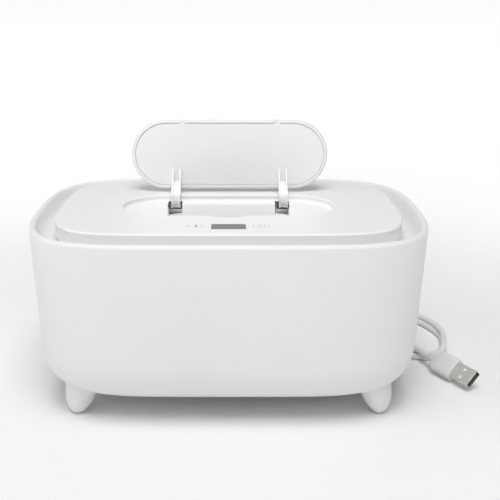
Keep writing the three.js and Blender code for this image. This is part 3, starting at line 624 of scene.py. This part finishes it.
# plug body: a loft of rounded sections along the axis
def plug_section(d, w, t, p, n=64):
    out = []
    for k in range(n):
        a = 2 * math.pi * (k + 0.5) / n
        c, s = math.cos(a), math.sin(a)
        x = w / 2 * math.copysign(abs(c) ** (2 / p), c)
        y = t / 2 * math.copysign(abs(s) ** (2 / p), s)
        out.append(tuple(along(d, x, y)))
    return out


B0 = -SHELL_L - 0.3
rows = [(0.0, 12.9, 5.3, 5), (0.0, 13.6, 6.0, 5), (-0.12, 14.3, 6.6, 5), (-0.5, 14.85, 7.1, 5), (-1.05, 15.15, 7.4, 5.2), (-1.8, 15.3, 7.6, 5.4),
        (-6, 15.3, 7.6, 5.4), (-11, 15.25, 7.55, 5.4), (-15.0, 15.1, 7.45, 5.2), (-16.6, 14.7, 7.3, 4.8), (-17.7, 13.8, 7.05, 4.3), (-18.5, 12.4, 6.75, 3.8),
        (-19.2, 10.4, 6.4, 3.3), (-19.9, 8.6, 6.1, 2.9), (-20.8, 7.3, 5.85, 2.5), (-22.0, 6.5, 5.6, 2.2), (-23.6, 5.9, 5.4, 2.0), (-25.2, 5.4, 5.15, 2.0), (-25.6, 5.0, 4.8, 2.0), (-25.6, 4.3, 4.2, 2.0)]
verts, nsec = [], 64
for d, w, t, p in rows:
    verts += plug_section(B0 + d, w, t, p, nsec)
faces = grid_faces(len(rows), nsec) + [tuple(range(nsec)), tuple(range((len(rows) - 1) * nsec, len(rows) * nsec))]
plug = new_mesh("plug_grip", verts, faces)
smooth(plug, 40, False)
dress(plug, M_PLUG, "housing", ["plug_body"])


# plug shell: a folded metal tube with two latch windows on each broad side
def plug_box(name, d0, d1, w0, w1, n0, n1):
    v = [tuple(along(d, w, n)) for n in (n0, n1) for w in (w0, w1) for d in (d0, d1)]
    f = [(0, 1, 3, 2), (4, 5, 7, 6), (0, 1, 5, 4), (2, 3, 7, 6), (0, 2, 6, 4), (1, 3, 7, 5)]
    return new_mesh(name, v, f)


def plug_tube(name, rows, seg=6):
    vs, n = [], 4 * (seg + 1)
    for w, t, r, d in rows:
        vs += [tuple(along(d, x, y)) for x, y in round_rect(w, t, r, seg)]
    fs = grid_faces(len(rows), n) + [tuple(range(n)), tuple(range((len(rows) - 1) * n, len(rows) * n))]
    return new_mesh(name, vs, fs)


can = plug_tube("plug_metal", [(SHELL_W, SHELL_T, 0.75, -SHELL_L), (SHELL_W, SHELL_T, 0.75, -0.25), (SHELL_W - 0.2, SHELL_T - 0.2, 0.7, 0.0)])
can = cut(can, plug_tube("t", [(SHELL_W - 0.7, SHELL_T - 0.7, 0.45, -SHELL_L + 1.0), (SHELL_W - 0.7, SHELL_T - 0.7, 0.45, 1.0)]))
for w in (-2.9, 2.9):
    can = cut(can, plug_box("t", -9.2, -7.2, w - 1.0, w + 1.0, SHELL_T / 2 - 0.24, 4.0))
    can = cut(can, plug_box("t", -9.2, -7.2, w - 1.0, w + 1.0, -4.0, -SHELL_T / 2 + 0.24))
fix(can)
dress(can, M_SHELLMETAL, "housing", ["plug_shell"])
# the white core shows in the four latch windows
can.data.materials.append(M_CORE)
for pol in can.data.polygons:
    q = pol.center / MM - Vector(PLUG_C)
    if abs(abs(q.dot(nm)) - SHELL_T / 2 + 0.24) < 0.02 and -9.3 < q.dot(ax) < -7.1 and abs(abs(q.dot(wd)) - 2.9) < 1.1:
        pol.material_index = 1
smooth(can, 30)
tongue = plug_box("plug_tongue_block", -SHELL_L + 1.3, -0.9, -5.2, 5.2, -1.8, 0.2)
bevelled(tongue, 0.15, 2)
dress(tongue, M_TONGUE, "housing", ["plug_tongue"])
for i, w in enumerate((-3.5, -1.0, 1.0, 3.5)):
    pad = plug_box(f"plug_contact_{i + 1}", -8.9, -1.7, w - 0.5, w + 0.5, 0.15, 0.32)
    bevelled(pad, 0.04, 1)
    dress(pad, M_GOLD, "housing")

# --------------------------------------------------------------------- housing
heel_out = []
for k in range(29):
    th = math.pi / 2 * (1 - k / 28)
    z = BOTTOM_Z + HEEL_R * (1 - math.sin(th) ** (2 / HEEL_P))
    heel_out.append((DRAFT * (116 - z) + HEEL_R * (1 - max(0.0, math.cos(th)) ** (2 / HEEL_P)), z))
wall_out = [(DRAFT * (116 - z), z) for z in (48, 58, 70, 82, 94, 104, 110, 113)]
rim = arc(2.2, 115.4, 2.2, 180, 90, 8) + [(3.2, RIM_Z)]
rim = [(i, z) for i, z in rim]
scoop = smooth_profile([(3.2, RIM_Z), (3.9, 117.35), (4.6, 116.6), (6.0, 114.1), (8.0, 111.2), (10.4, 109.35), (13.4, 108.35), (16.5, LEDGE_Z)], 0.6)[1:]
heel_in = []
for k in range(14, -1, -1):
    th = math.pi / 2 * (1 - k / 14)
    z = BOTTOM_Z + WALL + (HEEL_R - WALL) * (1 - math.sin(th) ** (2 / HEEL_P))
    heel_in.append((DRAFT * (116 - z) + WALL + (HEEL_R - WALL) * (1 - max(0.0, math.cos(th)) ** (2 / HEEL_P)), z))
profile = [(38.0, BOTTOM_Z + 0.3), (37.7, BOTTOM_Z)] + heel_out[1:] + wall_out + rim + scoop + [
    (LEDGE_IN - 0.5, LEDGE_Z), (LEDGE_IN, LEDGE_Z - 0.5), (LEDGE_IN, LEDGE_Z - 2.3), (10, LEDGE_Z - 2.3), (DRAFT * 16 + WALL, 100)] + heel_in + [
    (34, 18.4), (50, 18.4), (50, 15), (38, 15)]
shell = swept("housing_shell", profile, rim_plan, 288, closed=True)
smooth(shell, 35)
dress(shell, M_SHELL, "housing", ["outer_shell"])

foot_curve = smooth_profile([(0.6, 0.0), (1.9, 0.05), (2.9, 0.4), (4.0, 1.15), (5.35, 2.6), (7.05, 5.2), (8.3, 8.0), (9.15, 11.0), (9.8, 14.6), (10.2, 18.5), (10.5, 26)], 0.9)
foot_curve = [(0.01, 0.0)] + foot_curve + [(0.01, 26)]
hull = [(DRAFT * (116 - 114) + 0.0, 114.0)] + [(i, z) for i, z in reversed(heel_out)] + [(60.0, BOTTOM_Z)]
for name, sx, sy in (("front_left", -1, -1), ("front_right", 1, -1), ("rear_left", -1, 1), ("rear_right", 1, 1)):
    f = lathe("peg_" + name, foot_curve, 56)
    for vtx in f.data.vertices:
        z = vtx.co.z / MM
        vtx.co.x += sx * (FOOT_X - FOOT_LEAN_X * z) * MM
        vtx.co.y += sy * (FOOT_Y - FOOT_LEAN_Y * z) * MM
        vtx.co.z = max(0.0, vtx.co.z)
    cut(f, swept("t", hull, outer_plan, 144))
    fix(f)
    smooth(f, 40)
    dress(f, M_FOOT, "housing", ["foot_" + name])

tank_out = smooth_profile([(40.5, 27.0), (36.5, 27.5), (32.4, 29.0), (29.4, 31.8), (27.6, 36.0), (26.9, 41.0)], 1.2)
tank_in = smooth_profile([(29.0, 41.0), (29.7, 36.6), (31.6, 32.7), (34.6, 30.2), (38.2, 29.15), (42.0, 29.0)], 1.2)
tank = swept("tank_liner", [(46, 27.0)] + tank_out + [(24.5, 75), (22.2, 108.2), (21.8, 108.5), (17.3, 108.5), (17.3, 110.1), (17.5, 110.3), (23.6, 110.3), (24.1, 110.0), (24.2, 109.4), (26.4, 75)] + tank_in + [(46, 29.0)], inner_plan, 200)
cut(tank, block("t", -14, 14, 62.4, 75, 105, 114))
# the floor sits between the two caps of the sweep: close it as a plate
floor_cap = swept("t", [(45.0, 27.0), (45.0, 29.0)], inner_plan, 200)
join(tank, floor_cap)
fix(tank)
smooth(tank, 35)
dress(tank, M_INNER, "housing", ["inner_tank"])

# ------------------------------------------------------------------------- lid
edge = [(LID_INSET + 0.25, LID_LOW), (LID_INSET, LID_LOW + 0.3)] + [(LID_INSET, 113.5), (LID_INSET, 116.5)]
edge += [(LID_INSET + 1.3 - 1.3 * math.cos(a * D2R), LID_Z - 1.3 + 1.3 * math.sin(a * D2R)) for a in (0, 11, 22, 34, 45, 56, 68, 79, 90)]
cover = swept("lid_cover", edge, inner_plan, 288)
cut(cover, swept("t", [(18, LID_LOW - 1), (18, LID_Z - LID_T - 0.6), (18.6, LID_Z - LID_T)], inner_plan, 144))
join(cover, stadium("t", [(SEAT_R + 2, SEAT_Z - 2), (SEAT_R + 2, 119)], SEAT_S, SEAT_Y, 128))
join(cover, lathe("t", [(THUMB_R + 2, SEAT_Z - 2), (THUMB_R + 2, 119)], 96, "z", (0, THUMB_Y, 0)))


def outlet(z, grow, at=None):
    """Outline of the wipe outlet at a height; its back wall leans forward going down."""
    yb, yf = HOLE_Y1 - HOLE_SLOPE * max(0.0, SEAT_Z - z) + grow, HOLE_Y0 - grow

    def w(y):
        return HOLE_W - HOLE_TAPER * (HOLE_Y1 - y) + grow

    pts = rounded([(w(yf), yf), (w(yb), yb), (-w(yb), yb), (-w(yf), yf)], HOLE_R + grow, 16)
    return [(x, y, z if at is None else at) for x, y in pts]


join(cover, loft("t", [outlet(SKIRT_Z, SKIRT_T - 0.2), outlet(SKIRT_Z + 0.3, SKIRT_T), outlet(SEAT_Z - 1, SKIRT_T)]))
BF, TF = 2.2, 0.9  # fillets at the foot and at the top of the seat's wall
seat_prof = arc(SEAT_R - BF, SEAT_Z + BF, BF, -90, 0, 10) + [(SEAT_R, LID_Z - TF)] + [(SEAT_R + TF - TF * math.cos(a * D2R), LID_Z - TF + TF * math.sin(a * D2R)) for a in (15, 30, 45, 60, 75, 90)] + [(SEAT_R + TF, 122)]
thumb_prof = arc(THUMB_R - BF, SEAT_Z + BF, BF, -90, 0, 10) + [(THUMB_R, LID_Z - TF)] + [(THUMB_R + TF - TF * math.cos(a * D2R), LID_Z - TF + TF * math.sin(a * D2R)) for a in (15, 30, 45, 60, 75, 90)] + [(THUMB_R + TF, 122)]
cut(cover, stadium("t", seat_prof, SEAT_S, SEAT_Y, 160))
cut(cover, lathe("t", thumb_prof, 120, "z", (0, THUMB_Y, 0)))
HF = 1.1  # rounding of the outlet's lip
hole_rows = [outlet(SKIRT_Z - 2, 0.0), outlet(SEAT_Z - HF, 0.0)]
hole_rows += [outlet(SEAT_Z - HF + HF * math.sin(a * D2R), HF * (1 - math.cos(a * D2R))) for a in (18, 36, 54, 72, 90)]
hole_rows += [outlet(SEAT_Z, HF, SEAT_Z + 2)]
cut(cover, loft("t", hole_rows))
for s in (-1, 1):
    x0, x1 = (SLOT_X0, SLOT_X1) if s > 0 else (-SLOT_X1, -SLOT_X0)
    cut(cover, block("t", x0, x1, 8, SLOT_Y1, SLOT_LOW, SLOT_Z))


def sweep(r, a0, a1, n):
    return [(PIVOT_Y + r * math.cos((a0 + (a1 - a0) * k / n) * D2R), PIVOT_Z + r * math.sin((a0 + (a1 - a0) * k / n) * D2R)) for k in range(n + 1)]


# hinge pockets: two cheeks that carry the pin, and a curved floor
for s in (-1, 1):
    c = s * ARM_X + PLAY
    cheek = [(PIVOT_Y - 2.9, LID_Z - LID_T + 0.5), (PIVOT_Y - 2.9, PIVOT_Z - 3.2)] + sweep(POCKET_OUT, 235, 350, 28) + [(PIVOT_Y + 13.2, LID_Z - LID_T + 0.5)]
    join(cover, plate_x("t", cheek, c - ARM_W / 2 - 2.4, c - ARM_W / 2 - 0.5))
    join(cover, plate_x("t", cheek, c + ARM_W / 2 + 0.5, c + ARM_W / 2 + 2.4))
    join(cover, plate_x("t", sweep(POCKET_OUT - 0.01, 192, 349.5, 40) + sweep(POCKET_IN, 349.5, 197, 40), c - ARM_W / 2 - 2.2, c + ARM_W / 2 + 2.2))
    cut(cover, lathe("t", [(BORE_R, c - 6), (BORE_R, c + 6)], 32, "x", (0, PIVOT_Y, PIVOT_Z)))
join(cover, block("t", -12.4, 12.4, 62.8, 66.6, 113.6, LID_Z - LID_T + 0.5))
for x in (-32.5, 32.5):
    join(cover, block("t", x + PLAY - 1.2, x + PLAY + 1.2, SEAT_Y - SEAT_R - 0.5, SEAT_Y - SEAT_R + 1.9, 116.9, 117.8))
for x, y in ((86, 38), (-86, 38), (86, -38), (-86, -38)):
    join(cover, lathe("t", [(3.2, 112.9), (3.2, LID_Z - LID_T + 0.5)], 32, "z", (x, y, 0)))
    cut(cover, lathe("t", [(1.4, 111), (1.4, 117.8)], 24, "z", (x, y, 0)))
ww, wdp = WINDOW_W + 0.5, WINDOW_D + 0.5
cut(cover, rr_loft("t", [(ww, wdp, 0.8, 115), (ww, wdp, 0.8, 119.8), (ww + 0.3, wdp + 0.3, 0.95, 120.1), (ww + 0.3, wdp + 0.3, 0.95, 122)], 0, WINDOW_Y, 6))
fix(cover, 1e-6)
smooth(cover, 30)
dress(cover, M_LID, "lid", ["top_cover"])

lens = rr_loft("display_window", [(WINDOW_W, WINDOW_D, 0.6, 118.3), (WINDOW_W, WINDOW_D, 0.6, 119.85), (WINDOW_W - 0.3, WINDOW_D - 0.3, 0.5, 120.0)], 0, WINDOW_Y, 6)
smooth(lens, 30)
dress(lens, M_LENS, "lid", ["display_lens"])


MARK_Y = WINDOW_Y + 1.0


def mark(name, boxes, mat):
    """Thin printed strokes, (x, y, width, depth) each, a hair above the lid."""
    vs, fs = [], []
    for x, y, w, d in boxes:
        o = len(vs)
        vs += [(x + a * w / 2, y + b * d / 2, z) for z in (LID_Z - 0.05, LID_Z + 0.02) for b in (-1, 1) for a in (-1, 1)]
        fs += [tuple(o + i for i in q) for q in ((0, 1, 3, 2), (4, 5, 7, 6), (0, 1, 5, 4), (2, 3, 7, 6), (0, 2, 6, 4), (1, 3, 7, 5))]
    m = new_mesh(name, vs, fs)
    return dress(m, mat, "lid")


mark("touch_mark_plus_across", [(-19.4, MARK_Y, 2.3, 1.5)], M_MARK_DARK)
mark("touch_mark_plus_up", [(-19.4, MARK_Y + 1.95, 0.6, 2.3), (-19.4, MARK_Y - 1.95, 0.6, 2.3)], M_MARK_DARK)
mark("touch_mark_minus_left", [(-23.9, MARK_Y, 1.7, 1.6), (-15.5, MARK_Y, 1.7, 1.6)], M_MARK_LIGHT)
mark("touch_mark_levels", [(14.8, MARK_Y, 0.62, 4.6), (17.5, MARK_Y, 0.62, 7.0), (19.3, MARK_Y, 0.62, 7.0), (21.4, MARK_Y, 0.62, 7.0), (24.1, MARK_Y, 0.62, 5.4)], M_MARK_LIGHT)


# ------------------------------------------------------------------------ flap
def swing(ob):
    """Turns a piece that was drawn closed to the open rest place."""
    t = -FLAP_ANGLE * D2R
    c, s = math.cos(t), math.sin(t)
    for v in ob.data.vertices:
        y, z = v.co.y / MM - PIVOT_Y, v.co.z / MM - PIVOT_Z
        v.co = ((v.co.x / MM + PLAY) * MM, (PIVOT_Y + y * c - z * s) * MM, (PIVOT_Z + y * s + z * c) * MM)
    ob.data.update()
    return ob


under = smooth_profile([(FLAP_R - 1.0, 116.75), (FLAP_R - 0.72, 117.5), (FLAP_R - 0.42, 118.3), (FLAP_R - 0.08, 119.0)], 0.4)
flap_prof = [(FLAP_R - 1.9, FLAP_LOW), (FLAP_R - 1.55, FLAP_LOW), (FLAP_R - 1.2, FLAP_LOW + 0.1)] + under
flap_prof += [(FLAP_R - 0.9 + 0.9 * math.cos(a * D2R), FLAP_TOP - 0.9 + 0.9 * math.sin(a * D2R)) for a in (5, 20, 35, 50, 65, 80, 90)]
flap = stadium("flap_cover", flap_prof, FLAP_S, FLAP_Y, 160)
cut(flap, stadium("t", [(FLAP_R - LIP + 0.25, FLAP_LOW - 1), (FLAP_R - LIP + 0.25, FLAP_LOW), (FLAP_R - LIP + 0.07, FLAP_LOW + 0.07), (FLAP_R - LIP, FLAP_LOW + 0.25), (FLAP_R - LIP, 118.2)], FLAP_S, FLAP_Y, 160))
for x in (-32.5, 32.5):
    cut(flap, block("t", x - 1.7, x + 1.7, FLAP_Y - FLAP_R - 1, FLAP_Y - FLAP_R + LIP + 0.6, FLAP_LOW - 1, 118.2))
for s in (-1, 1):
    cut(flap, block("t", s * ARM_X - ARM_W / 2 - 0.3, s * ARM_X + ARM_W / 2 + 0.3, FLAP_Y + FLAP_R - LIP - 1, FLAP_Y + FLAP_R + 1, FLAP_LOW - 1, 116.9))
fix(flap, 1e-6)
swing(flap)
smooth(flap, 30)
dress(flap, M_LID, "flap", ["flap_panel"])
lin_r = FLAP_R - LIP - 0.12
liner = stadium("flap_inner_panel", [(lin_r - 1.5, 116.9), (lin_r - 0.9, 116.95), (lin_r - 0.4, 117.1), (lin_r, 117.35), (lin_r, 117.9)], FLAP_S, FLAP_Y, 160)
swing(liner)
smooth(liner, 30)
dress(liner, M_LID, "flap", ["flap_liner"])


def polar(r, deg):
    return (PIVOT_Y + r * math.cos(deg * D2R), PIVOT_Z + r * math.sin(deg * D2R))


FACE = 116.9 - PIVOT_Z - 0.3


def on_face(tau):
    a = (180 - FLAP_ANGLE) * D2R
    return (PIVOT_Y + FACE * math.sin(a) + tau * math.cos(a), PIVOT_Z - FACE * math.cos(a) + tau * math.sin(a))


def face_deg(r):
    return 180 - FLAP_ANGLE - 90 + math.acos(FACE / r) / D2R


def neck(outer, straight, tip):
    p = [polar(outer, 194 + (straight - 194) * k / 24) for k in range(25)]
    p.append(on_face(tip))
    e = face_deg(ARC_IN)
    p += [polar(ARC_IN, e + (194 - e) * k / 26) for k in range(27)]
    return p


SPOKE = 188
spoke = [(PIVOT_Y + r * math.cos(SPOKE * D2R) - w * math.sin(SPOKE * D2R), PIVOT_Z + r * math.sin(SPOKE * D2R) + w * math.cos(SPOKE * D2R)) for r, w in ((-0.5, -1.5), (9.4, -1.5), (9.4, 1.5), (-0.5, 1.5))]
for name, s in (("left", -1), ("right", 1)):
    c = s * ARM_X + PLAY
    x0, x1 = c - ARM_W / 2, c + ARM_W / 2
    arm = plate_x("arm_" + name, neck(ARC_RIB, 100, 21.5), x0, x0 + RIB)
    join(arm, plate_x("t", neck(ARC_WEB, 95, 13.1), x0 + RIB / 2, x1 - RIB / 2))
    join(arm, plate_x("t", neck(ARC_RIB, 100, 21.5), x1 - RIB, x1))
    join(arm, plate_x("t", spoke, x0 + 0.01, x1 - 0.01))
    join(arm, lathe("t", [(2.5, x0 + 0.005), (2.5, x1 - 0.005)], 40, "x", (0, PIVOT_Y, PIVOT_Z)))
    cut(arm, lathe("t", [(BORE_R, x0 - 1), (BORE_R, x1 + 1)], 32, "x", (0, PIVOT_Y, PIVOT_Z)))
    # a round sink mark pocket low on the web
    q = polar(10.3, 184.5)
    cut(arm, lathe("t", [(1.15, -1.2), (1.15, 1.0)], 24, "y", (c, q[0], q[1])))
    fix(arm, 1e-6)
    bevelled(arm, 0.18, 2, 40)
    smooth(arm, 35)
    dress(arm, M_LID, "flap", ["hinge_arm_" + name])

# ------------------------------------------------- materials of the kept pieces
carry = {
    "base_cover": M_INNER, "power_board": M_BOARD, "board_inlet_socket": M_PLUG, "insulation_pad": M_FOAM, "heater_plate": M_ALU,
    "heating_film": M_FILM, "thermostat": M_ALU, "contact_block": M_INNER, "display_module": M_DARK, "touch_board": M_BOARD,
    "lid_under_tray": M_INNER, "lid_gasket": M_SILICONE, "contact_pad": M_GOLD, "hinge_pin_left": M_STEEL, "hinge_pin_right": M_STEEL,
}
for i in range(1, 5):
    carry[f"base_screw_{i}"] = M_STEEL
    carry[f"lid_screw_{i}"] = M_STEEL
    carry[f"contact_stud_{i}"] = M_GOLD
for n, m in carry.items():
    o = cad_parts[n]
    o.data.materials.clear()
    o.data.materials.append(m)

# ----------------------------------------------------------------------- stage
floor_mat, nt, b = nodes_of("studio_floor")
b.inputs["Base Color"].default_value = (0.86, 0.86, 0.86, 1)
b.inputs["Roughness"].default_value = 0.9
b.inputs["Specular IOR Level"].default_value = 0.0
b.inputs["Emission Color"].default_value = (1, 1, 1, 1)
# painted light: the floor glows more the farther it is from the object, so the far floor stays white where the
# softboxes' light falls off; next to the object it hardly glows
far = nt.nodes.new("ShaderNodeVectorMath")
far.operation = "LENGTH"
nt.links.new(nt.nodes.new("ShaderNodeTexCoord").outputs["Object"], far.inputs[0])
glow = nt.nodes.new("ShaderNodeFloatCurve")
crv = glow.mapping.curves[0]
crv.points[0].location = (0.0, 0.0)
crv.points[1].location = (1.0, 0.72)
crv.points.new(0.08, 0.03)
crv.points.new(0.22, 0.27)
glow.mapping.update()
nt.links.new(remap(nt, far.outputs["Value"], 0.0, 1.0, 0.0, 2.5), glow.inputs["Value"])
nt.links.new(glow.outputs[0], b.inputs["Emission Strength"])
me = bpy.data.meshes.new("studio_floor")
me.from_pydata([(-30, -30, -0.0002), (30, -30, -0.0002), (30, 30, -0.0002), (-30, 30, -0.0002)], [], [(0, 1, 2, 3)])
floor = bpy.data.objects.new("studio_floor", me)
scene.collection.objects.link(floor)
floor.data.materials.append(floor_mat)

world = bpy.data.worlds.new("studio")
scene.world = world
world.use_nodes = True
bg = world.node_tree.nodes["Background"]
bg.inputs["Color"].default_value = (0.985, 0.99, 1.0, 1)
bg.inputs["Strength"].default_value = 0.30


def softbox(name, loc, target, size, power, colour=(1, 1, 1)):
    ld = bpy.data.lights.new(name, "AREA")
    ld.shape = "RECTANGLE"
    ld.size, ld.size_y = size
    ld.energy = power
    ld.color = colour
    lo = bpy.data.objects.new(name, ld)
    scene.collection.objects.link(lo)
    lo.location = loc
    lo.rotation_euler = (Vector(target) - Vector(loc)).to_track_quat("-Z", "Y").to_euler()
    return lo


softbox("key_high_front", (0.0, -0.752, 2.147), (0, 0, 0.08), (1.2, 1.2), 30.0)
softbox("fill_left", (-1.694, -0.616, 1.342), (0, 0, 0.08), (1.2, 1.2), 6.8)
softbox("fill_rear", (0.0, 1.10, 1.985), (0, 0, 0.08), (1.2, 1.2), 3.5)
softbox("fill_front", (-0.346, -1.964, 1.010), (0, 0, 0.08), (1.4, 1.4), 4.3)
